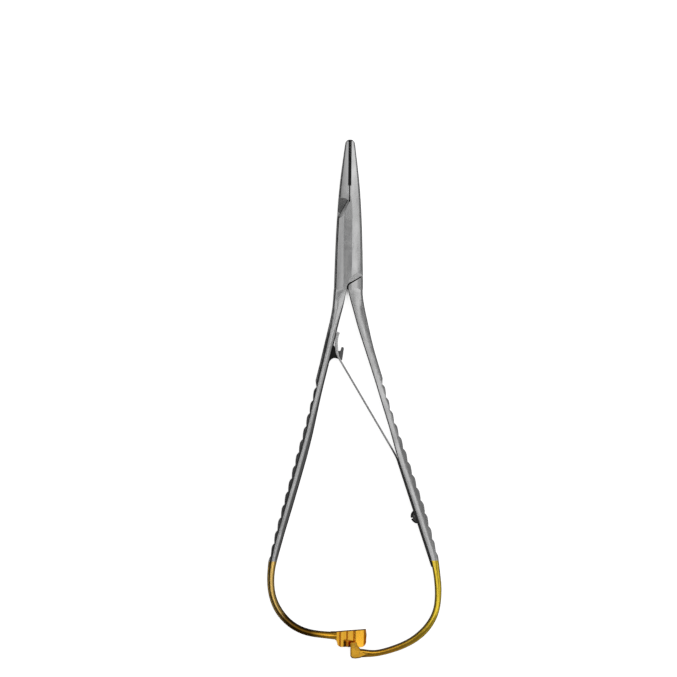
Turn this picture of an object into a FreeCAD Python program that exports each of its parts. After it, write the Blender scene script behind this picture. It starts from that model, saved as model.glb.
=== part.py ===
import FreeCAD, Part
import math
import os

# Frame: the pivot axis is X = Y = 0, the jaws point along +Y, the underside of the box lock is Z = 0.
# All sizes in mm. Plan shapes are lists of (x, y); a nested pair (through, end) is an arc.

# Box lock
BOX_THICK = 5.2
MID = BOX_THICK / 2
TONGUE_THICK = 2.0
TONGUE_CLEAR = 0.05
SPLIT_Y = 14.4
HEAD_END = -14.0
STEP_RADIUS = 9.83
STEP_GAP = 0.05
CROWN_RISE = 0.06
CROWN_RADIUS = 16.0
CROWN_AT = -0.35
HEAD_HALF_WIDE = 4.72
FORK_LEFT = -0.60
FORK_RIGHT = 0.0

# Pivot
PIN_RADIUS = 1.4
PIN_FLARE = 0.2
BORE_CLEAR = 0.03

# Jaws
TIP_Y = 34.9
TIP_RADIUS = 1.6
INSERT_START = 19.7
INSERT_THICK = 0.49
INSERT_GAP = 0.01
STEEL_GAP = 0.2

# Leaf spring, on a flat seat on the inner side of the tongue-side shank
SEAT_TOP = (16.75, -69.0)
SEAT_ANGLE = 18.6
SEAT_LENGTH = 37.9
TAIL_END = 37.8
SPRING_THICK = 0.6
SPRING_WIDE = 2.9
SPRING_GAP = 0.01
WINDOW_WIDE = 1.8
HOOK_THICK = 1.4

# Spring screw
SCREW_AT = 20.6
SCREW_RADIUS = 1.0
SCREW_HEAD_RADIUS = 2.1
SCREW_HEAD_HIGH = 1.45
SCREW_DEPTH = 2.2
SCREW_CLEAR = 0.08

# Ratchet
RACK_THICK = 2.5
TOOTH_PITCH = 2.3
TOOTH_RUN = 2.0
TOOTH_DEEP = 0.75
TOOTH_FIRST = 3.2
TOOTH_LAND = 0.55
PAWL_GAP = 0.1
BOW_THICK = 3.4

# Shapes of the shanks and bows across: crown radius on top, then sloping flanks, then round edges
BOX_BAR_CROWN = 1.3
BOX_BOW_CROWN = 1.0
TONGUE_BAR_CROWN = 4.0
TONGUE_BOW_CROWN = 2.8
TONGUE_LEAN = 0.25
EDGE_ROUND = 0.8
FLANK_BAR = 33
FLANK_HEAD = 60
SHORT_FLANK = 0.05

# Scallops on the outer sides of the shanks: the first one's y, pitch, count, how far the ridges are inset
SCALLOP_DEEP = 0.57
BOX_SCALLOPS = (-46.25, 4.285, 14, 0.27)
TONGUE_SCALLOPS = (-45.05, 4.22, 14, 0.05)

# Head stations: y, half width, half thickness, edge radius, crown radius
HEAD = [
    (HEAD_END, HEAD_HALF_WIDE, MID, 0.9, CROWN_RADIUS),
    (-6.0, 4.58, MID, 0.9, CROWN_RADIUS),
    (2.0, 4.34, MID, 0.9, CROWN_RADIUS),
    (10.0, 3.98, MID, 0.85, CROWN_RADIUS),
    (15.0, 3.66, MID - 0.02, 0.8, 13.0),
    (20.0, 3.24, 2.40, 0.75, 10.0),
    (26.0, 2.56, 1.87, 0.65, 8.0),
    (31.0, 1.92, 1.44, 0.5, 6.0),
    (35.5, 1.36, 1.05, 0.4, 5.0),
]

# Shank stations: inner edge x, inner edge y, width, thickness, centre z
BOX_SHANK = [
    (-0.98, -16.4, 3.98, 5.1, MID),
    (-1.80, -20.4, 3.42, 4.9, MID),
    (-2.95, -25.0, 3.02, 4.4, MID),
    (-4.32, -31.0, 3.02, 4.1, MID),
    (-5.97, -38.1, 2.95, 3.9, MID),
    (-7.84, -46.0, 2.95, 3.7, MID),
    (-9.53, -53.9, 3.20, 3.7, MID),
    (-11.15, -61.8, 3.55, 3.7, MID),
    (-13.05, -69.7, 3.78, 3.7, MID),
    (-15.20, -77.6, 3.70, 3.7, MID),
    (-17.40, -85.5, 3.60, 3.7, MID),
    (-19.70, -93.4, 3.36, 3.6, MID),
    (-21.80, -101.2, 3.10, 3.5, MID),
    (-22.95, -106.0, 2.50, BOW_THICK, MID),
    (-23.28, -110.5, 2.27, BOW_THICK, MID),
    (-22.55, -115.4, 2.20, BOW_THICK, MID),
    (-20.20, -120.0, 2.30, BOW_THICK, MID),
    (-17.10, -123.3, 2.15, BOW_THICK, MID),
    (-13.60, -125.3, 2.08, BOW_THICK, MID),
    (-10.00, -126.28, 2.03, BOW_THICK, 2.5),
    (-6.40, -126.72, 2.05, BOW_THICK, 2.1),
    (-2.60, -126.8, 2.45, BOW_THICK, BOW_THICK / 2),
]
TONGUE_SHANK = [
    (0.36, -16.4, 4.44, 5.1, MID),
    (1.43, -20.3, 3.88, 4.9, MID),
    (3.10, -26.2, 3.55, 4.4, MID),
    (5.05, -32.1, 3.00, 4.1, MID),
    (7.00, -38.0, 2.75, 3.9, MID),
    (8.97, -43.9, 2.65, 3.8, MID),
    (11.00, -50.4, 2.48, 3.7, MID),
    (13.10, -56.9, 2.52, 3.7, MID),
    (15.05, -63.4, 2.88, 3.7, MID),
    (16.63, -69.0, 3.28, 3.7, MID),
    (19.66, -78.0, 3.43, 3.7, MID),
    (22.69, -87.0, 3.52, 3.7, MID),
    (25.72, -96.0, 3.16, 3.7, MID),
    (27.80, -102.2, 2.70, 3.5, MID),
    (28.85, -106.7, 2.22, BOW_THICK, MID),
    (29.40, -110.7, 2.15, BOW_THICK, MID),
    (29.57, -114.7, 2.00, BOW_THICK, MID),
    (29.00, -119.2, 1.90, BOW_THICK, MID),
    (27.10, -123.15, 2.02, BOW_THICK, MID),
    (24.18, -126.45, 2.08, BOW_THICK, MID),
    (20.85, -128.92, 1.93, BOW_THICK, MID),
    (16.90, -130.76, 1.84, BOW_THICK, 2.7),
    (13.00, -132.05, 1.72, BOW_THICK, 2.9),
    (9.00, -132.6, 1.88, BOW_THICK, 3.2),
    (3.60, -132.45, 2.5, BOW_THICK, BOX_THICK - BOW_THICK / 2),
]


def vec(point, z=0.0):
    return FreeCAD.Vector(point[0], point[1], z)


def outline(points):
    """Edges of a closed plan shape."""
    edges = []
    last = points[0]
    for step in points[1:] + points[:1]:
        if isinstance(step[0], tuple):
            edges.append(Part.Arc(vec(last), vec(step[0]), vec(step[1])).toShape())
            last = step[1]
        elif math.dist(step, last) > 1e-6:
            edges.append(Part.makeLine(vec(last), vec(step)))
            last = step
    return edges


def prism(points, low, high):
    """A plan shape raised from z = low to z = high."""
    face = Part.Face(Part.Wire(outline(points)))
    face.translate(FreeCAD.Vector(0, 0, low))
    return face.extrude(FreeCAD.Vector(0, 0, high - low))


def joined(shapes):
    """One solid from touching or overlapping shapes."""
    return shapes[0].multiFuse(shapes[1:]).removeSplitter()


# Bars: the head and the shanks are lofted through rounded, crowned sections

def corner(edge, radius, crown, crown_at, half, flank, side):
    """The way from the crown over a sloping flank and a round to the edge, as four (u, z) points."""
    out = side * (edge - crown_at)
    steepest = (out - radius - SHORT_FLANK) / (crown - radius)
    tilt = min(math.radians(flank), math.asin(min(1.0, steepest)))
    middle = (tilt + math.pi / 2) / 2
    end = (crown * math.sin(tilt), half - crown + crown * math.cos(tilt))
    foot_u = out - radius + radius * math.sin(tilt)
    foot = (foot_u, end[1] - (foot_u - end[0]) * math.tan(tilt))
    low = foot[1] - radius * math.cos(tilt)
    bend = (out - radius + radius * math.sin(middle), low + radius * math.cos(middle))
    return [(crown_at + side * u, z) for u, z in (end, foot, bend, (out, low))]


def section(origin, across, spread, half, radii, crown, crown_at=0.0, flank=FLANK_HEAD):
    """A rounded bar's cross-section in the plane of Z and `across`: crown, sloping flanks, round edges."""
    def place(point):
        return vec((origin[0] + point[0] * across[0], origin[1] + point[0] * across[1]), origin[2] + point[1])

    a = corner(spread[0], radii[0], crown, crown_at, half, flank, -1)
    b = corner(spread[1], radii[1], crown, crown_at, half, flank, 1)
    middle = (a[0][0] + b[0][0]) / 2
    top = (middle, half - crown + math.sqrt(crown**2 - (middle - crown_at) ** 2))
    over = [a[:0:-1], a[1::-1], [a[0], top, b[0]], b[:2], b[1:]]
    under = [[(u, -z) for u, z in run[::-1]] for run in over[::-1]]
    sides = [[b[3], (b[3][0], -b[3][1])], [(a[3][0], -a[3][1]), a[3]]]
    edges = []
    for run in over + sides[:1] + under + sides[1:]:
        points = [place(p) for p in run]
        edges.append(Part.Arc(*points).toShape() if len(points) == 3 else Part.makeLine(*points))
    return Part.Wire(edges)


def head():
    """Both jaws and the box lock as one tapered bar, flat front and back, rounded at the tip."""
    wires = []
    for y, half_wide, half, radius, crown in HEAD:
        place = (0, y, MID)
        wires.append(
            section(place, (1, 0), (-half_wide, half_wide), half + CROWN_RISE, (radius, radius), crown, CROWN_AT)
        )
    bar = Part.makeLoft(wires, True, False)
    low = TIP_Y - TIP_RADIUS
    plan = [(-8, HEAD_END), (8, HEAD_END), (8, low), (TIP_RADIUS, low), ((0, TIP_Y), (-TIP_RADIUS, low)), (-8, low)]
    side = [(HEAD_END, 0), (TIP_Y - 0.9, 0), (TIP_Y - 0.9, MID - 1.3)]
    side += [((TIP_Y - 0.2, MID - 0.75), (TIP_Y, MID)), ((TIP_Y - 0.2, MID + 0.75), (TIP_Y - 0.9, MID + 1.3))]
    side += [(TIP_Y - 0.9, BOX_THICK), (HEAD_END, BOX_THICK)]
    slab = prism(side, -8, 8)
    slab.rotate(FreeCAD.Vector(), FreeCAD.Vector(1, 1, 1), 120)
    return bar.common(prism(plan, -1, BOX_THICK + 1)).common(slab)


def edge_frames(stations, outward):
    """For each station: inner edge point, direction across the bar, other sizes."""
    frames = []
    for k, (x, y, wide, thick, z) in enumerate(stations):
        ax, ay = stations[max(0, k - 1)][:2]
        bx, by = stations[min(len(stations) - 1, k + 1)][:2]
        length = math.hypot(bx - ax, by - ay)
        across = (outward * (ay - by) / length, outward * (bx - ax) / length)
        frames.append(((x, y), across, wide, thick, z))
    return frames


def shank(stations, outward, start, inner_radius, bar_crown, bow_crown, lean):
    """A shank and its bow, from the box lock to the ratchet. Lean moves the crown towards the inner edge."""
    radii = (0.9, 0.08) if outward < 0 else (0.08, 0.9)
    top = MID + CROWN_RISE
    wires = [section((0, HEAD_END, MID), (1, 0), start, top, radii, CROWN_RADIUS, CROWN_AT)]
    for k, (inner, across, wide, thick, z) in enumerate(edge_frames(stations, outward)):
        inside = min(inner_radius, 0.25 + 0.25 * k)
        outside = min(EDGE_ROUND, 0.38 * wide)
        crown = min(bar_crown + 12.0 / (k + 1) ** 2, CROWN_RADIUS)
        if thick == BOW_THICK:
            inside = min(outside, 1.3 * inner_radius)
            crown = bow_crown
        at = wide * (0.5 - lean)
        if outward < 0:
            across = (-across[0], -across[1])
            spread, radii, at = (-wide, 0.0), (outside, inside), -at
        else:
            spread, radii = (0.0, wide), (inside, outside)
        place = (inner[0], inner[1], z)
        wires.append(section(place, across, spread, thick / 2, radii, crown, at, FLANK_BAR))
    bar = Part.makeLoft(wires, True, False)
    slab = Part.makeBox(80, 140, BOX_THICK, FreeCAD.Vector(-40, HEAD_END - 140, 0))
    return bar.common(slab)


def outer_edge(stations, outward, y, deep):
    """The point at height y on a shank's outer edge, moved inward by deep."""
    frames = edge_frames(stations, outward)
    points = [(p[0] + wide * a[0], p[1] + wide * a[1], a) for p, a, wide, _, _ in frames]
    for (ax, ay, a), (bx, by, _) in zip(points, points[1:]):
        if ay >= y >= by:
            t = (ay - y) / (ay - by)
            return (ax + t * (bx - ax) - deep * a[0], y - deep * a[1])


def scallops(stations, outward, first, pitch, count, rim):
    """The tool that cuts the row of finger scallops in the outer side of a shank."""
    def at(y, deep):
        return outer_edge(stations, outward, y, deep)

    notch = SCALLOP_DEEP + rim
    top = first + 0.45 * pitch
    wave = [at(top, 0.0), (at(first + 0.2 * pitch, 0.55 * notch), at(first, notch))]
    for k in range(count - 1):
        y = first - k * pitch
        deep = notch if k < count - 2 else 0.6 * notch
        wave.append((at(y - 0.15 * pitch, rim + 0.17), at(y - 0.32 * pitch, rim)))
        wave.append((at(y - 0.65 * pitch, rim + 0.18), at(y - pitch, deep)))
    last = first - (count - 1) * pitch
    end = last - 0.45 * pitch
    wave.append((at(last - 0.16 * pitch, 0.2 * notch), at(end, 0.0)))
    wave += [at(end, -0.6), at((top + end) / 2, -1.5), at(top, -0.6)]
    return prism(wave, -1, BOX_THICK + 1)


# Box lock: the walls of one half carry the tongue of the other

def slot_plan(clear):
    """The plan of the opening through the box; clear makes it the tongue's own plan."""
    c = 1.4 * clear
    return [(-9, 14.42 - c), (0 - clear, 14.4 - c), (9, 6.2 - c), (9, -14.85 + c), (-0.25, -14.85 + c), (-9, -6.1 + c)]


def on_step(x, radius):
    return (x, math.sqrt(radius**2 - x**2))


def box_plan():
    """Right jaw and box walls, seen from the front."""
    r = STEP_RADIUS - STEP_GAP
    jaw = [(STEEL_GAP, SPLIT_Y), (STEEL_GAP, 40), (8, 40), (8, -7.55)]
    foot = [(0.95, -11.83), ((-0.12, -12.45), (FORK_LEFT + 0.05, -13.3)), (FORK_LEFT, HEAD_END)]
    foot += [(-8, HEAD_END), (-8, on_step(-7, r)[1])]
    step = [on_step(-7, r), (on_step(-4.5, r), on_step(-2.5, r)), (0, 14.3)]
    return jaw + foot + step


def tongue_jaw_plan():
    r = STEP_RADIUS + STEP_GAP
    step = [on_step(-7, r), (on_step(-4.5, r), on_step(-2.53, r)), (-0.08, 14.4)]
    return step + [(-STEEL_GAP, SPLIT_Y), (-STEEL_GAP, 40), (-8, 40), (-8, on_step(-7, r)[1])]


def tongue_foot_plan():
    corner = ((0.2, -12.87), (FORK_RIGHT + 0.02, -13.4))
    return [(8, -7.9), (0.75, -12.4), corner, (FORK_RIGHT, HEAD_END), (8, HEAD_END)]


def ramps(a, b, reach, drop):
    """Wedges that grind a facet on front and back, falling away to the right of the line a to b."""
    length = math.dist(a, b)
    side = ((b[1] - a[1]) / length, (a[0] - b[0]) / length)
    corners = [(-0.5, 1.0), (0.0, 0.0), (reach, -drop), (reach, 1.0), (-0.5, 1.0)]
    wire = Part.makePolygon([vec((a[0] + u * side[0], a[1] + u * side[1]), BOX_THICK + z) for u, z in corners])
    front = Part.Face(wire).extrude(vec((b[0] - a[0], b[1] - a[1])))
    return [front, front.mirror(FreeCAD.Vector(0, 0, MID), FreeCAD.Vector(0, 0, 1))]


def insert_seat(side):
    """The recess that a jaw insert fills."""
    x = sorted((0.0, side * (INSERT_GAP + INSERT_THICK)))
    plan = [(x[0], INSERT_START), (x[1], INSERT_START), (x[1], 40), (x[0], 40)]
    return prism(plan, -1, BOX_THICK + 1)


def jaw_insert(side):
    near, far = side * INSERT_GAP, side * (INSERT_GAP + INSERT_THICK)
    plan = [(near, INSERT_START), (far, INSERT_START), (far, 40), (near, 40)]
    return head().common(prism(plan, -1, BOX_THICK + 1))


def pivot_pin():
    pin = Part.makeCylinder(PIN_RADIUS, BOX_THICK)
    flare = Part.makeCone(PIN_RADIUS, PIN_RADIUS + PIN_FLARE, PIN_FLARE * 1.5)
    front = flare.copy()
    front.translate(FreeCAD.Vector(0, 0, BOX_THICK - PIN_FLARE * 1.5))
    back = flare.mirror(FreeCAD.Vector(0, 0, PIN_FLARE * 0.75), FreeCAD.Vector(0, 0, 1))
    return joined([pin, front, back]).common(head())


# Spring hook, ratchet rack and pawl

def hook():
    """The prong on the inner side of the box-side shank that holds the spring."""
    plan = [
        (-7.0, -41.2),
        (-6.25, -39.4),
        ((-5.75, -37.7), (-4.60, -36.85)),
        ((-3.50, -36.95), (-2.35, -37.75)),
        (-1.76, -37.30),
        (-1.28, -33.66),
        ((-1.75, -33.15), (-2.20, -33.66)),
        (-2.42, -34.40),
        (-3.14, -34.50),
        (-5.07, -32.00),
        (-6.2, -34.0),
    ]
    return prism(plan, MID - HOOK_THICK / 2, MID + HOOK_THICK / 2)


def rack():
    """The toothed bar at the end of the box-side bow, teeth to the front."""
    plan = [
        (-4.6, -126.88),
        (-3.1, -126.85),
        (7.05, -125.98),
        (7.28, -127.9),
        (7.15, -129.6),
        ((6.75, -131.05), (5.6, -131.65)),
        (-1.3, -131.68),
        ((-2.1, -131.25), (-2.4, -130.4)),
        ((-2.8, -129.5), (-3.9, -128.75)),
    ]
    bar = prism(plan, 0, RACK_THICK)
    low, high = RACK_THICK - TOOTH_DEEP, RACK_THICK + 1
    profiles = []
    for k in range(3):
        x = TOOTH_FIRST - k * TOOTH_PITCH
        run = x - TOOTH_RUN
        profiles.append([(x + 0.2, high), (x + 0.2, RACK_THICK), (x, low), (run, RACK_THICK), (run, high)])
    start = TOOTH_FIRST + TOOTH_LAND
    profiles.append([(start, high), (start, RACK_THICK), (6.3, 2.1), (7.0, 1.5), (7.6, 0.2), (7.8, high)])
    for profile in profiles:
        groove = prism(profile, 120, 135)
        groove.rotate(FreeCAD.Vector(), FreeCAD.Vector(1, 0, 0), 90)
        bar = bar.cut(groove)
    return bar


def pawl():
    """The catch at the end of the tongue-side bow: an arm in front of the rack, and its root."""
    low = RACK_THICK + PAWL_GAP
    arm = [(1.95, -130.1), (2.3, -129.8), (3.7, -129.8), (4.0, -130.1), (4.4, -131.1), (5.2, -132.2)]
    arm += [(6.4, -132.9), (8.2, -133.4), (6.4, -134.2), (5.0, -134.8), (3.5, -135.0), (2.45, -134.85), (1.95, -134.2)]
    root = [(2.1, -132.25), (4.2, -132.25), (5.4, -132.95), (5.4, -134.75), (3.5, -134.95), (2.5, -134.8), (2.1, -134.2)]
    front = prism(arm, low, BOX_THICK)
    rim = [e for e in front.Edges if e.BoundBox.ZMin > BOX_THICK - 0.01]
    front = front.makeChamfer(0.35, rim)
    bevel = prism([(0, low - 1), (3.3, low - 1), (3.3, low), (1.6, low + 1.1), (0, low + 1.1)], 125, 132.2)
    bevel.rotate(FreeCAD.Vector(), FreeCAD.Vector(1, 0, 0), 90)
    return joined([front.cut(bevel), prism(root, 1.5, BOX_THICK - 1)])


# Leaf spring and its screw

def seat_point(along, inward):
    """A point near the spring seat: distance down along it, distance in from it."""
    a = math.radians(SEAT_ANGLE)
    x = SEAT_TOP[0] + along * math.sin(a) - inward * math.cos(a)
    y = SEAT_TOP[1] - along * math.cos(a) - inward * math.sin(a)
    return (x, y)


def seat_cut():
    """The flat milled for the spring."""
    plan = [seat_point(-0.5, 0), seat_point(SEAT_LENGTH, 0), seat_point(SEAT_LENGTH, 2), seat_point(-0.5, 2)]
    return prism(plan, -1, BOX_THICK + 1)


def leaf_spring():
    """A strip screwed to the seat, bent across to the hook, with a window in its free end."""
    near, far = SPRING_GAP, SPRING_GAP + SPRING_THICK
    lower = [(-2.84, -37.45), (-3.62, -35.6), (-4.12, -33.6), (-4.24, -31.7), (-3.88, -29.9), (-3.45, -28.5)]
    upper = [(-2.32, -37.15), (-2.92, -35.5), (-3.20, -33.6), (-3.24, -31.7), (-3.00, -30.1), (-2.55, -28.9)]
    tail = [seat_point(TAIL_END - 0.3, far), seat_point(TAIL_END, (near + far) / 2), seat_point(TAIL_END - 0.3, near)]
    edges = [
        Part.Arc(*[vec(p) for p in tail]).toShape(),
        Part.makeLine(vec(tail[2]), vec(seat_point(1.2, near))),
        smooth([seat_point(1.2, near), (16.33, -68.35), (14.75, -65.6)]),
        Part.makeLine(vec((14.75, -65.6)), vec(upper[0])),
        smooth(upper),
        Part.Arc(vec(upper[-1]), vec((-2.90, -28.05)), vec(lower[-1])).toShape(),
        smooth(lower[::-1]),
        Part.makeLine(vec(lower[0]), vec((14.24, -65.93))),
        smooth([(14.24, -65.93), (15.80, -68.62), seat_point(1.2, far)]),
        Part.makeLine(vec(seat_point(1.2, far)), vec(tail[0])),
    ]
    face = Part.Face(Part.Wire(Part.__sortEdges__(edges)))
    face.translate(FreeCAD.Vector(0, 0, MID - SPRING_WIDE / 2))
    strip = face.extrude(FreeCAD.Vector(0, 0, SPRING_WIDE))
    window = [(-6, -29.9), (0, -29.9), (2.5, -40.2), (-3.5, -41.8)]
    strip = strip.cut(prism(window, MID - WINDOW_WIDE / 2, MID + WINDOW_WIDE / 2))
    return strip.cut(screw_rod(SCREW_RADIUS + SCREW_CLEAR, -3, 3))


def smooth(points):
    """A smooth edge through plan points."""
    curve = Part.BSplineCurve()
    curve.interpolate([vec(p) for p in points])
    return curve.toShape()


def screw_rod(radius, start, stop):
    """A cylinder on the screw's axis; distances are measured inward from the seat."""
    a = math.radians(SEAT_ANGLE)
    inward = FreeCAD.Vector(-math.cos(a), -math.sin(a), 0)
    return Part.makeCylinder(radius, stop - start, vec(seat_point(SCREW_AT, start), MID), inward)


def spring_screw():
    """A round-headed slotted screw through the spring into the shank."""
    base = SPRING_GAP + SPRING_THICK + SPRING_GAP
    high = base + SCREW_HEAD_HIGH
    head_disc = screw_rod(SCREW_HEAD_RADIUS, base, high)
    ball = (SCREW_HEAD_RADIUS**2 + SCREW_HEAD_HIGH**2) / (2 * SCREW_HEAD_HIGH) + 0.15
    dome = Part.makeSphere(ball, vec(seat_point(SCREW_AT, high - ball), MID))
    slot = [seat_point(SCREW_AT - 0.28, high - 0.6), seat_point(SCREW_AT + 0.28, high - 0.6)]
    slot += [seat_point(SCREW_AT + 0.28, high + 1), seat_point(SCREW_AT - 0.28, high + 1)]
    screw = joined([head_disc.common(dome), screw_rod(SCREW_RADIUS, -SCREW_DEPTH, base + 0.2)])
    return screw.cut(prism(slot, -1, BOX_THICK + 1))


# The two forged halves

def box_half():
    """Right jaw, box, left shank with spring hook, bow and ratchet rack."""
    walls = head().common(prism(box_plan(), -1, BOX_THICK + 1)).cut(ramps((-0.1, -11.7), (2.4, -8.0), 6, 1.8))
    bar = shank(BOX_SHANK, -1, (-HEAD_HALF_WIDE, FORK_LEFT), EDGE_ROUND, BOX_BAR_CROWN, BOX_BOW_CROWN, 0.0)
    half = joined([walls, bar, hook(), rack()])
    slot_low = MID - TONGUE_THICK / 2 - TONGUE_CLEAR
    slot_high = MID + TONGUE_THICK / 2 + TONGUE_CLEAR
    half = half.cut(prism(slot_plan(0), slot_low, slot_high))
    half = half.cut(insert_seat(1)).cut(pivot_pin())
    return half.cut(scallops(BOX_SHANK, -1, *BOX_SCALLOPS))


def tongue_half():
    """Left jaw, tongue, right shank with spring seat, bow and pawl."""
    envelope = head()
    outer = [
        envelope.common(prism(tongue_jaw_plan(), -1, BOX_THICK + 1)).cut(ramps((-4.2, 17.2), (-0.3, 14.9), 8, 2.5)),
        envelope.common(prism(tongue_foot_plan(), -1, BOX_THICK + 1)),
    ]
    layer = prism(slot_plan(0.15), MID - TONGUE_THICK / 2, MID + TONGUE_THICK / 2)
    bar = shank(TONGUE_SHANK, 1, (FORK_RIGHT, HEAD_HALF_WIDE), 0.35, TONGUE_BAR_CROWN, TONGUE_BOW_CROWN, TONGUE_LEAN)
    half = joined(outer + [envelope.common(layer), bar, pawl()])
    half = half.cut(Part.makeCylinder(PIN_RADIUS + BORE_CLEAR, BOX_THICK + 2, FreeCAD.Vector(0, 0, -1)))
    half = half.cut(insert_seat(-1)).cut(seat_cut())
    half = half.cut(screw_rod(SCREW_RADIUS, -SCREW_DEPTH, 3))
    return half.cut(scallops(TONGUE_SHANK, 1, *TONGUE_SCALLOPS))


def main():
    os.makedirs("parts", exist_ok=True)
    nodes = {
        "box_half": box_half(),
        "tongue_half": tongue_half(),
        "pivot_pin": pivot_pin(),
        "box_jaw_insert": jaw_insert(1),
        "tongue_jaw_insert": jaw_insert(-1),
        "leaf_spring": leaf_spring(),
        "spring_screw": spring_screw(),
    }
    for name, shape in nodes.items():
        solid = shape.Solids[0]
        box = solid.BoundBox
        print(name, len(shape.Solids), solid.isValid(), len(solid.Faces), round(solid.Volume, 2),
              [round(v, 2) for v in (box.XMin, box.XMax, box.YMin, box.YMax, box.ZMin, box.ZMax)])
        solid.exportStep(f"parts/{name}.step")


main()
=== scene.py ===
# %% [markdown]
# # A spring-handled needle holder in its looks
# The solids come from the construction step: two forged steel halves that cross in a box lock, a pivot pin,
# two dark jaw inserts, a leaf spring and its screw. This lesson dresses them. The big forgings keep their
# exact shapes and only get a finish. The small working parts whose surface matters are built again as
# meshes: the knurled inserts, so that they carry real relief, and the spring, which gets rows of vertices
# along its length. Sizes are in millimetres and MM makes metres of them. MID is the height of the
# instrument's middle layer.

# %% Load the fixed frame
import math

import bmesh
import bpy
from mathutils import Matrix, Vector
from mathutils.geometry import interpolate_bezier


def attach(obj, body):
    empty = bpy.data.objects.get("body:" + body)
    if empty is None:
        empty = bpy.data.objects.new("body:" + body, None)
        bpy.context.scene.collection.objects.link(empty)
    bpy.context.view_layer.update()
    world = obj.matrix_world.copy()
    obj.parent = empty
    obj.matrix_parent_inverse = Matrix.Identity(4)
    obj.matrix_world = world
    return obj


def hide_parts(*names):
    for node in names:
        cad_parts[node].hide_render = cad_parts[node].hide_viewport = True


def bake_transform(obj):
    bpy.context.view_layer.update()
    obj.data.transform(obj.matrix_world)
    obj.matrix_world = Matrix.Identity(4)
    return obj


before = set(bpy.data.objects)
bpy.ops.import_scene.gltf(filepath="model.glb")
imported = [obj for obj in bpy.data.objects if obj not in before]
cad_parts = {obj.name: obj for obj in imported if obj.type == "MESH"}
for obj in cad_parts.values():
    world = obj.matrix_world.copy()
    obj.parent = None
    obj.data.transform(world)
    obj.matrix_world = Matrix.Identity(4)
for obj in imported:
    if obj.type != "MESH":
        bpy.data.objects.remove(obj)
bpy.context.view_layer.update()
MM = 0.001
MID = 2.6
print("nodes:", sorted(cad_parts))

# %% [markdown]
# ## Shader helpers
# Every finish here is procedural: noise and simple masks drive colour, roughness and bump. A few short
# helpers keep the node code readable. They add a node and fill its inputs, mix two colours or numbers, carry
# a value from one range to another, start a material with its Principled BSDF, and start or place a group.

# %% Helpers for nodes and materials
def connect(tree, socket, value):
    """Link an output socket, or type in a number or colour."""
    if isinstance(value, bpy.types.NodeSocket):
        tree.links.new(value, socket)
    else:
        socket.default_value = value


def add_node(tree, kind, settings=None, **inputs):
    """A node of this kind. Inputs go by socket name, with _ for a blank, or by number as n0, n1, n2."""
    node = tree.nodes.new(kind)
    for key, value in (settings or {}).items():
        setattr(node, key, value)
    for key, value in inputs.items():
        numbered = key[0] == "n" and key[1:].isdigit()
        connect(tree, node.inputs[int(key[1:]) if numbered else key.replace("_", " ")], value)
    return node


def grey(value):
    return (value, value, value, 1.0)


def mix(tree, factor, first, second, kind="FLOAT"):
    """The first value where the factor is 0, the second where it is 1."""
    node = tree.nodes.new("ShaderNodeMix")
    node.data_type = kind
    slot = {"FLOAT": 2, "RGBA": 6}[kind]
    for index, value in ((0, factor), (slot, first), (slot + 1, second)):
        connect(tree, node.inputs[index], value)
    return node.outputs[{"FLOAT": 0, "RGBA": 2}[kind]]


def mix_colour(tree, factor, first, second):
    return mix(tree, factor, first, second, "RGBA")


def maths(tree, operation, *values):
    node = tree.nodes.new("ShaderNodeMath")
    node.operation = operation
    for index, value in enumerate(values):
        connect(tree, node.inputs[index], value)
    return node.outputs[0]


def mapped(tree, value, low, high, to_low=0.0, to_high=1.0):
    """A value carried from one range to another, held at its ends."""
    node = add_node(tree, "ShaderNodeMapRange", None, Value=value)
    for name, number in (("From Min", low), ("From Max", high), ("To Min", to_low), ("To Max", to_high)):
        connect(tree, node.inputs[name], number)
    return node.outputs[0]


def new_material(name, metallic=1.0):
    """An empty node material and its shader."""
    material = bpy.data.materials.new(name)
    material.use_nodes = True
    tree = material.node_tree
    tree.nodes.clear()
    shader = add_node(tree, "ShaderNodeBsdfPrincipled")
    shader.inputs["Metallic"].default_value = metallic
    output = add_node(tree, "ShaderNodeOutputMaterial")
    tree.links.new(shader.outputs[0], output.inputs[0])
    return material, tree, shader


def new_group(name, inputs, outputs):
    """A shader node group with number sockets; inputs are (name, default) pairs."""
    group = bpy.data.node_groups.new(name, "ShaderNodeTree")
    for label, default in inputs:
        socket = group.interface.new_socket(label, in_out="INPUT", socket_type="NodeSocketFloat")
        socket.default_value = default
    for label in outputs:
        group.interface.new_socket(label, in_out="OUTPUT", socket_type="NodeSocketFloat")
    return group, group.nodes.new("NodeGroupInput").outputs, group.nodes.new("NodeGroupOutput").inputs


def use_group(tree, group, **numbers):
    """The outputs of a group placed in a tree, its inputs typed in."""
    node = tree.nodes.new("ShaderNodeGroup")
    node.node_tree = group
    for key, value in numbers.items():
        connect(tree, node.inputs[key.replace("_", " ")], value)
    return node.outputs


print("helpers ready")

# %% [markdown]
# ## Marks that all the metals share
# Ground steel shows a few things at once. Close up there is a fine even tooth and a lengthwise drawing from
# the polishing belt. From further away the belt leaves streaks a few tenths of a millimetre wide, and hands
# and cloths leave patches that are a little smoother. Use adds hair scratches and soft smudges, and rubs the
# edges bright. Every metal here needs these with different strengths, so they are three node groups. A group
# only puts out masks, heights and a normal; each material decides what they do to its colour, roughness and
# bump.

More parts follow.
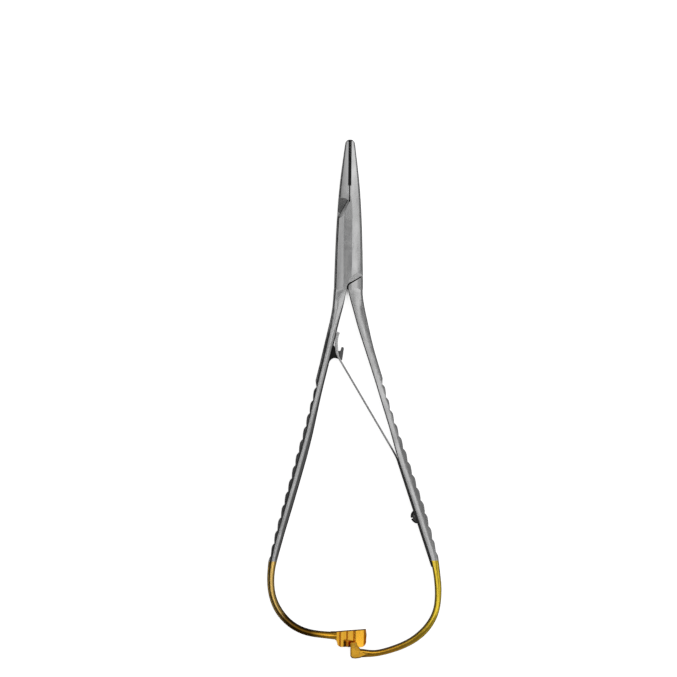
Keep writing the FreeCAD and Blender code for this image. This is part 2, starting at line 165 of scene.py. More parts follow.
# %% The belt grain group
def make_belt_grain():
    group, given, result = new_group(
        "belt_grain", (("Tooth Size", 0.00011), ("Drawn", 0.5), ("Patch Size", 0.006)),
        ("Shade", "Rub", "Height"),
    )
    place = add_node(group, "ShaderNodeTexCoord").outputs["Object"]
    lengthwise = add_node(group, "ShaderNodeMapping", None, Vector=place, Scale=(1.0, 0.035, 1.0)).outputs[0]

    def noise(vector, size, times, detail):
        scale = maths(group, "DIVIDE", times, size)
        return add_node(
            group, "ShaderNodeTexNoise", None, Vector=vector, Scale=scale, Detail=detail
        ).outputs[0]

    tooth = noise(place, given["Tooth Size"], 1.0, 2.0)
    lines = noise(lengthwise, given["Tooth Size"], 0.6, 3.0)
    streaks = noise(lengthwise, given["Tooth Size"], 0.16, 2.0)
    patches = noise(place, given["Patch Size"], 1.0, 5.0)
    fine = mix(group, given["Drawn"], tooth, lines)
    connect(group, result["Height"], fine)
    connect(group, result["Shade"], mapped(group, mix(group, 0.6, fine, streaks), 0.34, 0.66))
    connect(group, result["Rub"], mapped(group, patches, 0.35, 0.65))
    return group


belt_grain = make_belt_grain()


# %% The handling marks group
def make_handling_marks():
    group, given, result = new_group(
        "handling_marks", (("Scratch Size", 0.0002), ("Smudge Size", 0.011)), ("Scratch", "Smudge")
    )
    place = add_node(group, "ShaderNodeTexCoord").outputs["Object"]
    scratch_scale = maths(group, "DIVIDE", 1.0, given["Scratch Size"])
    scratches = []
    for turn in (0.22, -0.55):
        along = add_node(
            group, "ShaderNodeMapping", None, Vector=place, Rotation=(0.0, 0.0, turn), Scale=(1.0, 0.02, 1.0)
        ).outputs[0]
        lines = add_node(
            group, "ShaderNodeTexNoise", None, Vector=along, Scale=scratch_scale, Detail=1.0
        ).outputs[0]
        scratches.append(mapped(group, lines, 0.68, 0.74))
    rare = add_node(group, "ShaderNodeTexNoise", None, Vector=place, Scale=140.0, Detail=2.0).outputs[0]
    both = maths(group, "MAXIMUM", *scratches)
    connect(group, result["Scratch"], maths(group, "MULTIPLY", both, mapped(group, rare, 0.45, 0.6)))
    smudge_scale = maths(group, "DIVIDE", 1.0, given["Smudge Size"])
    smudge = add_node(
        group, "ShaderNodeTexNoise", None, Vector=place, Scale=smudge_scale, Detail=4.0, Distortion=0.6
    ).outputs[0]
    connect(group, result["Smudge"], mapped(group, smudge, 0.42, 0.62))
    return group


handling_marks = make_handling_marks()


# %% The rubbed edge group
def make_rubbed_edge():
    """1 along sharp edges, 0 on open faces, and a normal that rounds those edges over."""
    group, given, _ = new_group("rubbed_edge", (("Edge Size", 0.00014),), ("Edge",))
    group.interface.new_socket("Normal", in_out="OUTPUT", socket_type="NodeSocketVector")
    rounded = add_node(group, "ShaderNodeBevel", {"samples": 6}, Radius=given["Edge Size"]).outputs[0]
    true = add_node(group, "ShaderNodeNewGeometry").outputs["Normal"]
    same = add_node(group, "ShaderNodeVectorMath", {"operation": "DOT_PRODUCT"}, n0=rounded, n1=true)
    result = group.nodes["Group Output"].inputs
    connect(group, result["Edge"], mapped(group, same.outputs["Value"], 0.985, 0.85))
    connect(group, result["Normal"], rounded)
    return group


rubbed_edge = make_rubbed_edge()
print("shared groups:", belt_grain.name, handling_marks.name, rubbed_edge.name)

# %% [markdown]
# ## Satin steel with gold plated bows
# Each half is one forging, so it has one material. The last part of both handles is dipped in a gold bath,
# the usual mark of hard-metal jaws, with a straight sharp edge across both shanks. That edge is a plane in
# space, so a mask on the Object coordinates draws it: steel above it, gold below. The colour of the
# plating drifts a little: orange at the ratchet, a cooler yellow on the right bow and pale on the left bow.
# Along that bow's bottom it is painted dark brown, a painted shade.
# The spring hook is painted dark as shade, darkest against the shank, and it is rougher. Painted shade also
# darkens, less strongly, the flank of the left handle that faces the other one and the sloping shoulder at
# the upper mouth of the box lock, and inside the lock everything is painted nearly black as shade. Each of
# these places gets its own mask: windows on the Object coordinates, multiplied with each other.

# %% Masks by place
PLATING_EDGE = -103.24 * MM
PLATING_TILT = 0.0174
PLATING_FADE = 0.12 * MM


def object_place(tree):
    place = add_node(tree, "ShaderNodeTexCoord").outputs["Object"]
    return add_node(tree, "ShaderNodeSeparateXYZ", None, Vector=place).outputs


def plating_mask(tree, place):
    """1 on the gold part of the handles."""
    level = maths(tree, "SUBTRACT", place["Y"], maths(tree, "MULTIPLY", place["X"], PLATING_TILT))
    return mapped(tree, level, PLATING_EDGE + PLATING_FADE, PLATING_EDGE - PLATING_FADE)


def window(tree, value, low, high, soft):
    """1 between low and high, in mm, fading to 0 over soft mm inside them."""
    up = mapped(tree, value, low * MM, (low + soft) * MM)
    return maths(tree, "MULTIPLY", up, mapped(tree, value, high * MM, (high - soft) * MM))


def all_of(tree, *masks):
    """1 only where every mask is 1."""
    whole = masks[0]
    for mask in masks[1:]:
        whole = maths(tree, "MULTIPLY", whole, mask)
    return whole


def hook_mask(tree, place):
    """1 on the spring hook, which lies deeper than the polished front of the shank."""
    return all_of(
        tree, mapped(tree, place["Z"], 3.5 * MM, 3.4 * MM),
        window(tree, place["X"], -7.65, -0.65, 0.25), window(tree, place["Y"], -41.95, -32.65, 0.25),
    )


def lock_painted_shade_mask(tree, place):
    """1 on the hidden faces inside the box lock, the middle layer and its slot, which are painted nearly
    black as shade.
    """
    return all_of(
        tree, window(tree, place["Z"], 1.42, 3.78, 0.04), window(tree, place["Y"], -15.1, -7.0, 0.2),
        window(tree, place["X"], -4.4, 4.4, 0.4),
    )


def left_flank_painted_shade_mask(tree, place):
    """1 on the flank of the left shank that looks at the other shank, which is painted darker as shade."""
    facing = add_node(tree, "ShaderNodeTexCoord").outputs["Normal"]
    facing = add_node(tree, "ShaderNodeSeparateXYZ", None, Vector=facing).outputs["X"]
    return all_of(
        tree, mapped(tree, facing, 0.25, 0.55), window(tree, place["X"], -30, 0.3, 0.6),
        window(tree, place["Y"], -104, -16, 1.5),
    )


MOUTH_POINT = (-0.846, 12.90)
MOUTH_OUTWARD = (-0.876, 0.483)
SHOULDER_WIDE = 1.0


def shoulder_painted_shade_mask(tree, place):
    """1 on the narrow shoulder of the tongue, up and to the left of the upper mouth of the lock, painted
    darker as shade.
    """
    across, along = (
        maths(tree, "MULTIPLY", maths(tree, "SUBTRACT", place[axis], point * MM), outward)
        for axis, point, outward in zip("XY", MOUTH_POINT, MOUTH_OUTWARD)
    )
    from_mouth = maths(tree, "ADD", across, along)
    return all_of(
        tree, window(tree, place["Y"], 8.8, 15.0, 0.3), window(tree, place["X"], -5.0, 0.2, 0.2),
        window(tree, from_mouth, 0.0, SHOULDER_WIDE, 0.1),
    )


def bow_bottom_painted_shade_mask(tree, place):
    """1 along the bottom of the left bow, which is painted dark brown as shade."""
    return all_of(
        tree, window(tree, place["X"], -25, -5.2, 6.0), mapped(tree, place["Y"], -116 * MM, -121 * MM)
    )


# %% The colours of steel and gold
def rgb(red, green, blue):
    return (red, green, blue, 1.0)


def steel_colour(tree, grain, marks, edge):
    """Satin grey in belt streaks, duller where it was handled, lighter on rubbed edges."""
    steel = mix_colour(tree, grain["Shade"], rgb(0.435, 0.437, 0.442), rgb(0.515, 0.515, 0.512))
    steel = mix_colour(tree, maths(tree, "MULTIPLY", marks["Smudge"], 0.25), steel, rgb(0.40, 0.40, 0.395))
    return mix_colour(tree, maths(tree, "MULTIPLY", edge["Edge"], 0.2), steel, grey(0.58))


def gold_colour(tree, place, grain, edge):
    """Orange gold at the ratchet, cool on the right bow, pale on the left one, painted dark brown as shade at
    its bottom.
    """
    warm = mix_colour(tree, grain["Shade"], rgb(0.80, 0.40, 0.030), rgb(0.88, 0.47, 0.048))
    cool = mix_colour(tree, grain["Shade"], rgb(0.74, 0.535, 0.040), rgb(0.80, 0.59, 0.060))
    pale = mix_colour(tree, grain["Shade"], rgb(0.84, 0.54, 0.150), rgb(0.90, 0.62, 0.200))
    gold = mix_colour(tree, mapped(tree, place["X"], 16 * MM, 30 * MM), warm, cool)
    gold = mix_colour(tree, mapped(tree, place["X"], -15 * MM, -21 * MM), gold, pale)
    bow_bottom_shade = maths(tree, "MULTIPLY", bow_bottom_painted_shade_mask(tree, place), 0.95)
    # painted shade: the bottom of the left bow is coloured dark brown
    gold = mix_colour(tree, bow_bottom_shade, gold, rgb(0.08, 0.038, 0.005))
    return mix_colour(tree, maths(tree, "MULTIPLY", edge["Edge"], 0.4), gold, rgb(0.93, 0.74, 0.34))


# %% The forged finish
def make_forged_steel():
    material, tree, shader = new_material("forged_steel")
    place = object_place(tree)
    grain = use_group(tree, belt_grain, Tooth_Size=0.00011, Drawn=0.5, Patch_Size=0.005)
    marks = use_group(tree, handling_marks)
    edge = use_group(tree, rubbed_edge, Edge_Size=0.00008)
    plated = plating_mask(tree, place)
    hooked = hook_mask(tree, place)
    flank = maths(tree, "MULTIPLY", left_flank_painted_shade_mask(tree, place), 0.75)
    shoulder = maths(tree, "MULTIPLY", shoulder_painted_shade_mask(tree, place), 0.85)
    steel = steel_colour(tree, grain, marks, edge)
    gold = gold_colour(tree, place, grain, edge)
    # painted shade: the spring hook is coloured near black, darkest against the shank
    hook_shade = mix_colour(tree, mapped(tree, place["X"], -3.7 * MM, -2.4 * MM), grey(0.022), grey(0.15))
    colour = mix_colour(tree, hooked, mix_colour(tree, plated, steel, gold), hook_shade)
    # painted shade: inside the box lock everything is coloured nearly black
    colour = mix_colour(tree, lock_painted_shade_mask(tree, place), colour, grey(0.008))
    # painted shade: the left shank's inner flank is coloured darker
    colour = mix_colour(tree, flank, colour, grey(0.10))
    # painted shade: the shoulder at the mouth of the lock is coloured darker
    colour = mix_colour(tree, shoulder, colour, grey(0.20))
    colour = mix_colour(tree, maths(tree, "MULTIPLY", marks["Scratch"], 0.25), colour, grey(0.66))
    steel_rough = mapped(tree, grain["Rub"], 0, 1, 0.24, 0.19)
    gold_rough = mapped(tree, grain["Rub"], 0, 1, 0.16, 0.11)
    rough = mix(tree, hooked, mix(tree, plated, steel_rough, gold_rough), 0.42)
    rough = maths(tree, "ADD", rough, maths(tree, "MULTIPLY", marks["Smudge"], 0.06))
    rough = maths(tree, "ADD", rough, maths(tree, "MULTIPLY", marks["Scratch"], 0.15))
    relief = maths(tree, "SUBTRACT", grain["Height"], maths(tree, "MULTIPLY", marks["Scratch"], 0.6))
    bump = add_node(
        tree, "ShaderNodeBump", None, Height=relief, Strength=0.22, Distance=0.01 * MM, Normal=edge["Normal"]
    )
    connect(tree, shader.inputs["Base Color"], colour)
    connect(tree, shader.inputs["Roughness"], rough)
    connect(tree, shader.inputs["Normal"], bump.outputs[0])
    return material


forged_steel = make_forged_steel()


# %% [markdown]
# ## The small metals
# The pin is riveted over and polished with the box, so it is nearly the same steel with its own grain. The
# spring is blued strip, lighter towards its hooked end; where it lies clamped against the shank it is painted
# almost black as shade. The screw is dark and glossy. The inserts are sintered hard metal, nearly black, dull
# in the grooves and a little brighter on the worn crests.

# %% Small metals: pin, screw, inserts and spring strip
def make_small_metal(name, dark, light, rough, tooth, drawn, relief, edge_light):
    material, tree, shader = new_material(name)
    grain = use_group(tree, belt_grain, Tooth_Size=tooth, Drawn=drawn, Patch_Size=0.003)
    marks = use_group(tree, handling_marks, Smudge_Size=0.004)
    edge = use_group(tree, rubbed_edge, Edge_Size=0.00008)
    colour = mix_colour(tree, grain["Shade"], grey(dark), grey(light))
    colour = mix_colour(tree, maths(tree, "MULTIPLY", edge["Edge"], 0.5), colour, grey(edge_light))
    roughness = maths(
        tree, "ADD", mapped(tree, grain["Rub"], 0, 1, *rough), maths(tree, "MULTIPLY", marks["Smudge"], 0.05)
    )
    bump = add_node(
        tree, "ShaderNodeBump", None,
        Height=grain["Height"], Strength=relief, Distance=0.01 * MM, Normal=edge["Normal"],
    )
    connect(tree, shader.inputs["Base Color"], colour)
    connect(tree, shader.inputs["Roughness"], roughness)
    connect(tree, shader.inputs["Normal"], bump.outputs[0])
    return material, tree, colour, shader


pin_steel = make_small_metal("pin_steel", 0.44, 0.52, (0.24, 0.19), 0.0001, 0.3, 0.2, 0.6)[0]
screw_steel = make_small_metal("screw_steel", 0.10, 0.17, (0.16, 0.24), 0.00009, 0.5, 0.2, 0.4)[0]
hard_metal = make_small_metal("hard_metal", 0.012, 0.035, (0.42, 0.55), 0.00005, 0.1, 0.5, 0.12)[0]


def make_strip_steel():
    """Spring strip: painted dark as shade where it is clamped, brighter where it is free, brightest at the
    hooked end.
    """
    material, tree, colour, shader = make_small_metal(
        "strip_steel", 0.27, 0.36, (0.22, 0.32), 0.00009, 0.9, 0.25, 0.5
    )
    place = object_place(tree)
    hooked_end = mapped(tree, place["Y"], -40 * MM, -36 * MM)
    bright = mix_colour(tree, hooked_end, colour, grey(0.45))
    # painted shade: the clamped part of the strip is coloured almost black
    clamped = mapped(tree, place["Y"], -64 * MM, -68 * MM, 0.0, 0.93)
    connect(tree, shader.inputs["Base Color"], mix_colour(tree, clamped, bright, grey(0.02)))
    return material


strip_steel = make_strip_steel()
print("metals:", [m.name for m in (forged_steel, pin_steel, screw_steel, hard_metal, strip_steel)])

# %% [markdown]
# ## Dressing the forgings
# The halves, the pin and the screw are already right in shape, down to the ratchet's teeth and the finger
# scallops. Their nodes stay as they are and only take a material.

# %% Give the fixed nodes their finish
def dress(node_name, material):
    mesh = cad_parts[node_name].data
    mesh.materials.clear()
    mesh.materials.append(material)


for node_name, material in (
    ("box_half", forged_steel),
    ("tongue_half", forged_steel),
    ("pivot_pin", pin_steel),
    ("spring_screw", screw_steel),
):
    dress(node_name, material)
print("dressed 4 nodes")

# %% [markdown]
# ## Knurled jaw inserts
# The black inserts grip the needle with a field of small pyramids set in diamonds. On the real part a wheel
# grinds two sets of crossing grooves. Here a Geometry Nodes tree repeats one small pyramid over a grid, keeps
# every second point for the diamond layout, and drops the cells that would hang over the tapered edge. The
# block behind is a copy of the solid. Its working face is set back by the depth of the knurl, all but a plain
# rim, so that the two closed jaws show one black line from above and no light comes through between them.

# %% The knurl tree
KNURL_DEEP = 0.16
KNURL_RIM = 0.22
CELL_WIDE = 0.62
CELL_LONG = 0.78
FIELD_START, FIELD_END = 19.9, 34.5
HALF_HIGH_START, HALF_HIGH_END = 2.23, 0.98
GRID_ACROSS, GRID_ALONG = 17, 41


def node_input(group, name, default):
    group.interface.new_socket(name, in_out="INPUT", socket_type="NodeSocketFloat").default_value = default


def make_knurl_tree():
    """Pyramids in diamonds on the XY plane: X across the jaw, Y along it, points up."""
    tree = bpy.data.node_groups.new("knurl", "GeometryNodeTree")
    tree.interface.new_socket("Geometry", in_out="OUTPUT", socket_type="NodeSocketGeometry")
    for name, default in (
        ("Cell Wide", CELL_WIDE * MM), ("Cell Long", CELL_LONG * MM), ("Point High", KNURL_DEEP * MM),
        ("Jaw Start", FIELD_START * MM), ("Jaw End", FIELD_END * MM),
        ("Half High Start", HALF_HIGH_START * MM), ("Half High End", HALF_HIGH_END * MM),
    ):
        node_input(tree, name, default)
    tree.interface.new_socket("Material", in_out="INPUT", socket_type="NodeSocketMaterial")
    inward = tree.nodes.new("NodeGroupInput").outputs
    outward = tree.nodes.new("NodeGroupOutput")

    def sums(operation, *values):
        return maths(tree, operation, *values)

    grid = add_node(
        tree, "GeometryNodeMeshGrid", None,
        Size_X=sums("MULTIPLY", inward["Cell Wide"], (GRID_ACROSS - 1) / 2),
        Size_Y=sums("MULTIPLY", inward["Cell Long"], (GRID_ALONG - 1) / 2),
        Vertices_X=GRID_ACROSS, Vertices_Y=GRID_ALONG,
    )
    middle = sums("MULTIPLY", sums("ADD", inward["Jaw Start"], inward["Jaw End"]), 0.5)
    shift = add_node(tree, "ShaderNodeCombineXYZ", None, Y=middle)
    placed = add_node(
        tree, "GeometryNodeTransform", None, Geometry=grid.outputs["Mesh"], Translation=shift.outputs[0]
    )
    index = tree.nodes.new("GeometryNodeInputIndex").outputs[0]
    column = sums("FLOOR", sums("DIVIDE", index, float(GRID_ALONG)))
    row = sums("MODULO", index, float(GRID_ALONG))
    odd = sums("MODULO", sums("ADD", column, row), 2.0)
    position = add_node(tree, "ShaderNodeSeparateXYZ")
    tree.links.new(tree.nodes.new("GeometryNodeInputPosition").outputs[0], position.inputs[0])
    edge = add_node(tree, "ShaderNodeMapRange", None, Value=position.outputs["Y"])
    for socket, source in (
        ("From Min", "Jaw Start"), ("From Max", "Jaw End"),
        ("To Min", "Half High Start"), ("To Max", "Half High End"),
    ):
        tree.links.new(inward[source], edge.inputs[socket])
    room = sums("SUBTRACT", edge.outputs[0], sums("MULTIPLY", inward["Cell Wide"], 0.5))
    too_wide = sums("GREATER_THAN", sums("ABSOLUTE", position.outputs["X"]), room)
    half_cell = sums("MULTIPLY", inward["Cell Long"], 0.5)
    too_low = sums("LESS_THAN", position.outputs["Y"], sums("ADD", inward["Jaw Start"], half_cell))
    too_high = sums("GREATER_THAN", position.outputs["Y"], sums("SUBTRACT", inward["Jaw End"], half_cell))
    drop = sums("MAXIMUM", sums("MAXIMUM", odd, too_wide), sums("MAXIMUM", too_low, too_high))
    kept = add_node(
        tree, "GeometryNodeDeleteGeometry", {"domain": "POINT"}, Geometry=placed.outputs[0], Selection=drop
    )
    pyramid = add_node(
        tree, "GeometryNodeMeshCone", {"fill_type": "NGON"},
        Vertices=4, Radius_Top=0.07, Radius_Bottom=0.5, Depth=1.0,
    )
    size = add_node(
        tree, "ShaderNodeCombineXYZ", None,
        X=inward["Cell Wide"], Y=inward["Cell Long"], Z=inward["Point High"],
    )
    field = add_node(
        tree, "GeometryNodeInstanceOnPoints", None,
        Points=kept.outputs[0], Instance=pyramid.outputs["Mesh"], Scale=size.outputs[0],
    )
    real = add_node(tree, "GeometryNodeRealizeInstances", None, Geometry=field.outputs[0])
    worn = add_node(
        tree, "GeometryNodeSetMaterial", None, Geometry=real.outputs[0], Material=inward["Material"]
    )
    tree.links.new(worn.outputs[0], outward.inputs[0])
    return tree


KNURL_TREE = make_knurl_tree()


def plain_mesh(obj, name):
    """The object's mesh with its modifiers applied; the object goes away."""
    evaluated = obj.evaluated_get(bpy.context.evaluated_depsgraph_get())
    mesh = bpy.data.meshes.new_from_object(evaluated)
    mesh.name = name
    bpy.data.objects.remove(obj)
    return mesh


def knurl_mesh():
    carrier = bpy.data.objects.new("knurl_carrier", bpy.data.meshes.new("knurl_carrier"))
    bpy.context.collection.objects.link(carrier)
    modifier = carrier.modifiers.new("knurl", "NODES")
    modifier.node_group = KNURL_TREE
    material_input = next(i for i in KNURL_TREE.interface.items_tree if i.name == "Material")
    modifier[material_input.identifier] = hard_metal
    return plain_mesh(carrier, "knurl_field")


KNURL_FIELD = knurl_mesh()
print("knurl:", len(KNURL_FIELD.polygons), "faces")


# %% Build the two inserts
STEP_WIDE = 0.01


def jaw_insert(piece_name, node_name, side):
    """The node's block with the knurl inside a plain rim. side is +1 on the right, -1 on the left."""
    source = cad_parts[node_name].data
    shell = bmesh.new()
    shell.from_mesh(source)
    bmesh.ops.remove_doubles(shell, verts=shell.verts, dist=0.001 * MM)
    face_x = min(abs(v.co.x) for v in shell.verts)
    working = [f for f in shell.faces if all(abs(abs(v.co.x) - face_x) < 0.002 * MM for v in f.verts)]
    face = bmesh.ops.dissolve_faces(shell, faces=working)["region"]
    for wide in (KNURL_RIM, STEP_WIDE):
        bmesh.ops.inset_region(shell, faces=face, thickness=wide * MM, depth=0.0, use_even_offset=True)
    for v in {v for f in face for v in f.verts}:
        v.co.x = side * (face_x + KNURL_DEEP * MM)
    block = bpy.data.meshes.new(piece_name)
    shell.to_mesh(block)
    points = KNURL_FIELD.copy()
    turn = Matrix(((0, 0, -side, 0), (0, 1, 0, 0), (side, 0, 0, 0), (0, 0, 0, 1)))
    seat = Matrix.Translation((side * (face_x + KNURL_DEEP * MM), 0, MID * MM))
    points.transform(seat @ turn)
    shell.clear()
    shell.from_mesh(block)
    shell.from_mesh(points)
    shell.to_mesh(block)
    shell.free()
    block.materials.clear()
    block.materials.append(hard_metal)
    for polygon in block.polygons:
        polygon.material_index = 0
    block.shade_flat()
    piece = bpy.data.objects.new(piece_name, block)
    bpy.context.collection.objects.link(piece)
    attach(piece, "box_side" if side > 0 else "tongue_side")
    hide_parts(node_name)
    return piece


for side, piece_name, node_name in (
    (1, "knurled_insert_box", "box_jaw_insert"),
    (-1, "knurled_insert_tongue", "tongue_jaw_insert"),
):
    made = jaw_insert(piece_name, node_name, side)
    print(made.name, len(made.data.polygons), "faces")

# %% [markdown]
# ## The leaf spring
# A flat strip is screwed to one shank, leans across the handle space and hooks on the other shank with a
# window in its end. The real strip bends when the handles open; here it is built with rows of vertices along
# its length.
# A ribbon with a hole in it is easy to write down; Solidify then gives it its thickness, and Bevel the
# softened edges of punched and tumbled strip.

# %% The line that the spring follows
SEAT_TOP = Vector((16.75, -69.0))
SEAT_ANGLE = math.radians(18.6)
SEAT_DOWN = Vector((math.sin(SEAT_ANGLE), -math.cos(SEAT_ANGLE)))
SEAT_IN = Vector((-math.cos(SEAT_ANGLE), -math.sin(SEAT_ANGLE)))
STRIP_THICK = 0.6
STRIP_WIDE = 2.9
WINDOW_WIDE = 1.8
TAIL_STEPS = (37.8, 37.7, 37.5, 37.2, 36.8)
SEAT_STEPS = TAIL_STEPS + (36.4, 34, 30, 25, 20, 15, 10, 6, 3, 1.2)
SEAT_GAP = 0.01
HOOK_START = Vector((-2.58, -37.3))
HOOK_EXTRA_THICK = 0.38


def on_seat(down, inward):
    return SEAT_TOP + SEAT_DOWN * down + SEAT_IN * inward


def curve_points(a, handle_a, handle_b, b, count):
    """Points from a to b, without a itself."""
    knots = [p.to_3d() for p in (a, handle_a, handle_b, b)]
    return [Vector(p[:2]) for p in interpolate_bezier(*knots, count)[1:]]


def strip_line():
    """(point, thickness) along the strip, from its tail to its hooked end, in mm."""
    middle = SEAT_GAP + STRIP_THICK / 2
    line = [on_seat(s, middle) for s in SEAT_STEPS]
    bend_end = Vector((14.5, -65.77))
    lean = (HOOK_START - bend_end).normalized()
    line += curve_points(line[-1], line[-1] - SEAT_DOWN * 1.4, bend_end - lean * 1.4, bend_end, 9)
    reach = (HOOK_START - bend_end).length
    line += [bend_end + lean * reach * k / 24 for k in range(1, 25)]
    crook, tip = Vector((-3.74, -31.7)), Vector((-3.02, -28.30))
    line += curve_points(line[-1], line[-1] + lean * 2.2, crook + Vector((0, -2.0)), crook, 12)
    line += curve_points(crook, crook + Vector((0, 1.3)), tip + Vector((-0.55, -1.1)), tip, 9)
    thick = []
    for p in line:
        grow = min(1.0, max(0.0, (p.y + 37.5) / 4.0)) if p.x < 2 else 0.0
        thick.append(STRIP_THICK + HOOK_EXTRA_THICK * grow * grow * (3 - 2 * grow))
    return list(zip(line, thick))


# %% The ribbon of the spring
def half_width(k):
    """Half the width of row k in mm: full, but for the round tail."""
    half = STRIP_WIDE / 2
    if k >= len(TAIL_STEPS):
        return half
    from_end = TAIL_STEPS[0] - TAIL_STEPS[k]
    return math.sqrt(max(0.04, half**2 - (half - from_end) ** 2))


def ribbon_mesh(line):
    """The strip as a surface without thickness, four vertices a row, with the window left open."""
    shell = bmesh.new()
    rows = []
    for k, (p, _) in enumerate(line):
        half = half_width(k)
        inner = min(WINDOW_WIDE / 2, half * 0.62)
        heights = (-half, -inner, inner, half)
        rows.append([shell.verts.new((p.x * MM, p.y * MM, (MID + z) * MM)) for z in heights])
    for k, (low, high) in enumerate(zip(rows, rows[1:])):
        y = line[k][0].y
        open_here = line[k][0].x < 2.5 and y > -41.0 and line[k + 1][0].y < -29.6
        for j in (0, 1, 2):
            if not (open_here and j == 1):
                shell.faces.new((low[j], low[j + 1], high[j + 1], high[j]))
    mesh = bpy.data.meshes.new("ribbon")
    shell.to_mesh(mesh)
    shell.free()
    return mesh


# %% Give the ribbon its thickness and soft edges
def leaf_spring():
    line = strip_line()
    ribbon = bpy.data.objects.new("ribbon", ribbon_mesh(line))
    bpy.context.collection.objects.link(ribbon)
    full = max(t for _, t in line)
    weights = ribbon.vertex_groups.new(name="thickness")
    for k, (_, t) in enumerate(line):
        weights.add([4 * k + j for j in range(4)], t / full, "REPLACE")
    solid = ribbon.modifiers.new("thickness", "SOLIDIFY")
    solid.thickness = full * MM
    solid.offset = 0.0
    solid.vertex_group = "thickness"
    soft = ribbon.modifiers.new("soft_edges", "BEVEL")
    soft.width = 0.07 * MM
    soft.segments = 2
    soft.limit_method = "ANGLE"
    soft.angle_limit = math.radians(50)
    mesh = plain_mesh(ribbon, "spring_strip")
    mesh.materials.clear()
    mesh.materials.append(strip_steel)
    mesh.shade_smooth()
    mesh.set_sharp_from_angle(angle=math.radians(35))
    piece = bpy.data.objects.new("spring_strip", mesh)
    bpy.context.collection.objects.link(piece)
    return piece


spring_strip = leaf_spring()
bpy.context.view_layer.update()
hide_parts("leaf_spring")
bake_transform(spring_strip)
print("spring strip:", len(spring_strip.data.polygons), "faces")

# %% [markdown]
# ## The floor
# The instrument lies on plain white and is seen from straight above. The floor is a matt white sheet that
# takes the soft boxes' light, and for the camera it also glows a little, as paper does when a photographer
# exposes for it. Narrow slots between two pieces of metal should stay dark, so an Ambient Occlusion node
# takes the glow away where metal stands close on both sides and paints the floor there nearly black, a
# painted shade. It looks only a few millimetres far. In the metal's reflections the floor is painted dark
# grey, a painted reflection that keeps the metal's sides dark.

# %% The floor
FLOOR_GLOW = 0.84
SLOT_REACH = 3 * MM


def make_floor():
    """White table: lit by the soft boxes and lifted to paper white for the camera; painted nearly black deep
    in slots as shade, and dark grey in reflections.
    """
    material, tree, shader = new_material("white_table", metallic=0.0)
    place = add_node(tree, "ShaderNodeTexCoord").outputs["Object"]
    speck = add_node(tree, "ShaderNodeTexNoise", None, Vector=place, Scale=60.0, Detail=3.0).outputs[0]
    seen = add_node(tree, "ShaderNodeLightPath").outputs
    open_sky = add_node(tree, "ShaderNodeAmbientOcclusion", {"samples": 16}, Distance=SLOT_REACH)
    clear = mapped(tree, open_sky.outputs["AO"], 0.12, 0.27)
    pale = mix_colour(tree, speck, grey(0.90), grey(0.93))
    # painted shade: deep in slots the floor is coloured nearly black
    pale = mix_colour(tree, clear, grey(0.02), pale)
    glow = maths(tree, "MULTIPLY", maths(tree, "MULTIPLY", seen["Is Camera Ray"], FLOOR_GLOW), clear)
    # painted reflection: glossy rays see the floor as dark grey, so the metal mirrors it darker
    connect(tree, shader.inputs["Base Color"], mix_colour(tree, seen["Is Glossy Ray"], pale, grey(0.2)))
    connect(tree, shader.inputs["Emission Strength"], glow)
    shader.inputs["Emission Color"].default_value = (1, 1, 1, 1)
    shader.inputs["Roughness"].default_value = 0.9
    shader.inputs["Specular IOR Level"].default_value = 0.1
    shell = bmesh.new()
    bmesh.ops.create_grid(shell, x_segments=8, y_segments=8, size=1.6)
    mesh = bpy.data.meshes.new("table_top")
    shell.to_mesh(mesh)
    shell.free()
    mesh.transform(Matrix.Translation((0, -0.05, -0.02 * MM)))
    mesh.materials.append(material)
    floor = bpy.data.objects.new("table_top", mesh)
    bpy.context.collection.objects.link(floor)
    return floor


floor = make_floor()
print("floor:", floor.name)

# %% [markdown]
# ## The light
# Polished metal has hardly a colour of its own: what it shows is the room. So the light is one broad soft
# ceiling with an opening for the camera. The flat middle of the box lock mirrors that opening and reads grey.
# Its crowned sides and the round shanks mirror the ceiling and read light, and the rounded edges lean so far
# out that they mirror the dim walls. The ceiling is put together from flat area lights around the opening,
# so that each stretch of the instrument can be lit by itself: a point at the left of it mirrors a box at the
# left, twice as far out. A narrow band of the walls just above the floor is lighter, and keeps the sides of
# the metal from going black when it is looked at from low down.

# %% The lights
CEILING = 0.62


def soft_box(name, x_range, y_range, radiance):
    """A flat light under the ceiling, facing down, as bright per area as it is told."""
    light = bpy.data.lights.new(name, "AREA")
    light.shape = "RECTANGLE"
    light.size, light.size_y = x_range[1] - x_range[0], y_range[1] - y_range[0]
    light.energy = radiance * math.pi * light.size * light.size_y
    obj = bpy.data.objects.new(name, light)
    obj.location = (sum(x_range) / 2, sum(y_range) / 2, CEILING)
    bpy.context.collection.objects.link(obj)


SOFT_BOXES = (
    ("box_left", (-0.21, -0.075), (0.0, 0.40), 0.71),
    ("box_left_low", (-0.21, -0.075), (-0.22, 0.0), 1.0),
    ("box_far_left", (-0.30, -0.21), (-0.19, 0.40), 0.42),
    ("box_right", (0.075, 0.30), (-0.19, 0.12), 0.98),
    ("box_right_top", (0.075, 0.42), (0.12, 0.40), 1.15),
    ("box_top", (-0.075, 0.075), (0.10, 0.40), 0.95),
    ("box_bottom", (0.0, 0.075), (-0.15, -0.02), 0.95),
    ("box_catch", (-0.01, 0.04), (-0.27, -0.225), 0.85),
    ("box_ratchet", (0.12, 0.40), (-0.30, -0.21), 1.15),
    ("box_bows", (0.42, 0.80), (-0.42, -0.10), 0.62),
)
for soft in SOFT_BOXES:
    soft_box(*soft)


# %% The room around them
OPENING_GLOW = 0.20
LOW_WALL_GLOW = 0.55
BACKDROP_GLOW = 0.93


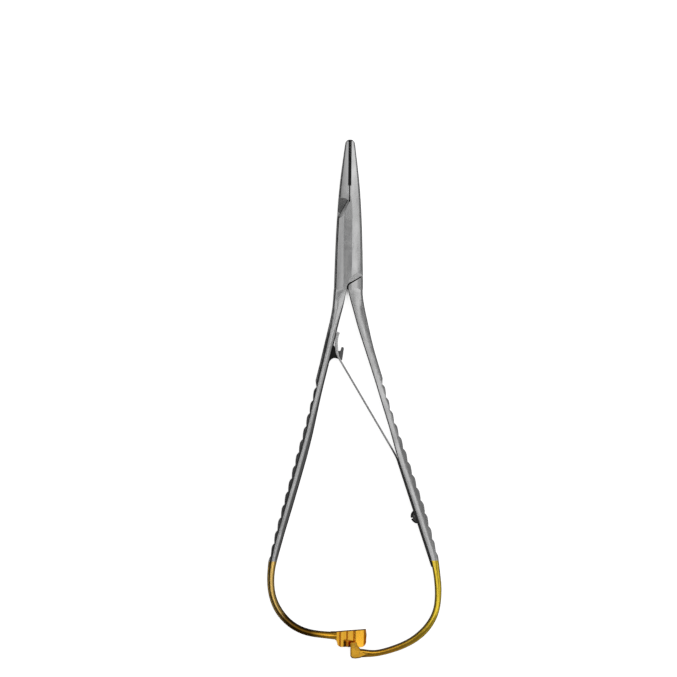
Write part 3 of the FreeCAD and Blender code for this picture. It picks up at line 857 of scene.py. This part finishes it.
def make_room():
    """Dim walls, a grey opening overhead, and pale for the camera."""
    world = bpy.data.worlds.new("room")
    bpy.context.scene.world = world
    world.use_nodes = True
    tree = world.node_tree
    tree.nodes.clear()
    place = add_node(tree, "ShaderNodeTexCoord").outputs["Generated"]
    way = add_node(tree, "ShaderNodeSeparateXYZ", None, Vector=place).outputs
    seen = add_node(tree, "ShaderNodeLightPath").outputs["Is Camera Ray"]
    walls = mapped(tree, way["X"], -0.6, 0.7, 0.03, 0.28)
    walls = mix(tree, mapped(tree, way["Z"], 0.36, 0.20), walls, LOW_WALL_GLOW)
    room = mix(tree, mapped(tree, way["Z"], 0.93, 0.98), walls, OPENING_GLOW)
    strength = mix(tree, seen, room, BACKDROP_GLOW)
    paint = add_node(tree, "ShaderNodeBackground", None, Color=(1, 1, 1, 1), Strength=strength)
    output = add_node(tree, "ShaderNodeOutputWorld")
    tree.links.new(paint.outputs[0], output.inputs[0])


make_room()
bpy.context.scene.view_settings.view_transform = "Standard"
print("lights:", len(SOFT_BOXES), "soft boxes and the room")

# %% [markdown]
# ## The camera
# The picture is 677 pixels wide, and the instrument's 170 mm take up 518 of them, which gives the width of
# what the camera sees. A long lens keeps the thick box lock from leaning. The camera hangs so high that the
# middle layer of the instrument is seen at just that width, and it is rolled a little, as in the picture.

# %% The camera
PICTURE_PIXELS = 677
INSTRUMENT_PIXELS = 518
INSTRUMENT_LONG = 170 * MM
VIEW_WIDE = PICTURE_PIXELS * INSTRUMENT_LONG / INSTRUMENT_PIXELS
LENS = 100.0
SENSOR = 36.0
LOOKS_AT = (-3.085 * MM, -30.39 * MM)
CAMERA_ROLL = math.radians(0.65)
camera_data = bpy.data.cameras.new("camera")
camera_data.lens = LENS
camera_data.sensor_width = SENSOR
camera = bpy.data.objects.new("camera", camera_data)
camera.location = (*LOOKS_AT, MID * MM + VIEW_WIDE * LENS / SENSOR)
camera.rotation_euler = (0, 0, CAMERA_ROLL)
bpy.context.collection.objects.link(camera)
bpy.context.scene.camera = camera
print("camera height:", round(camera.location.z, 3), "m")
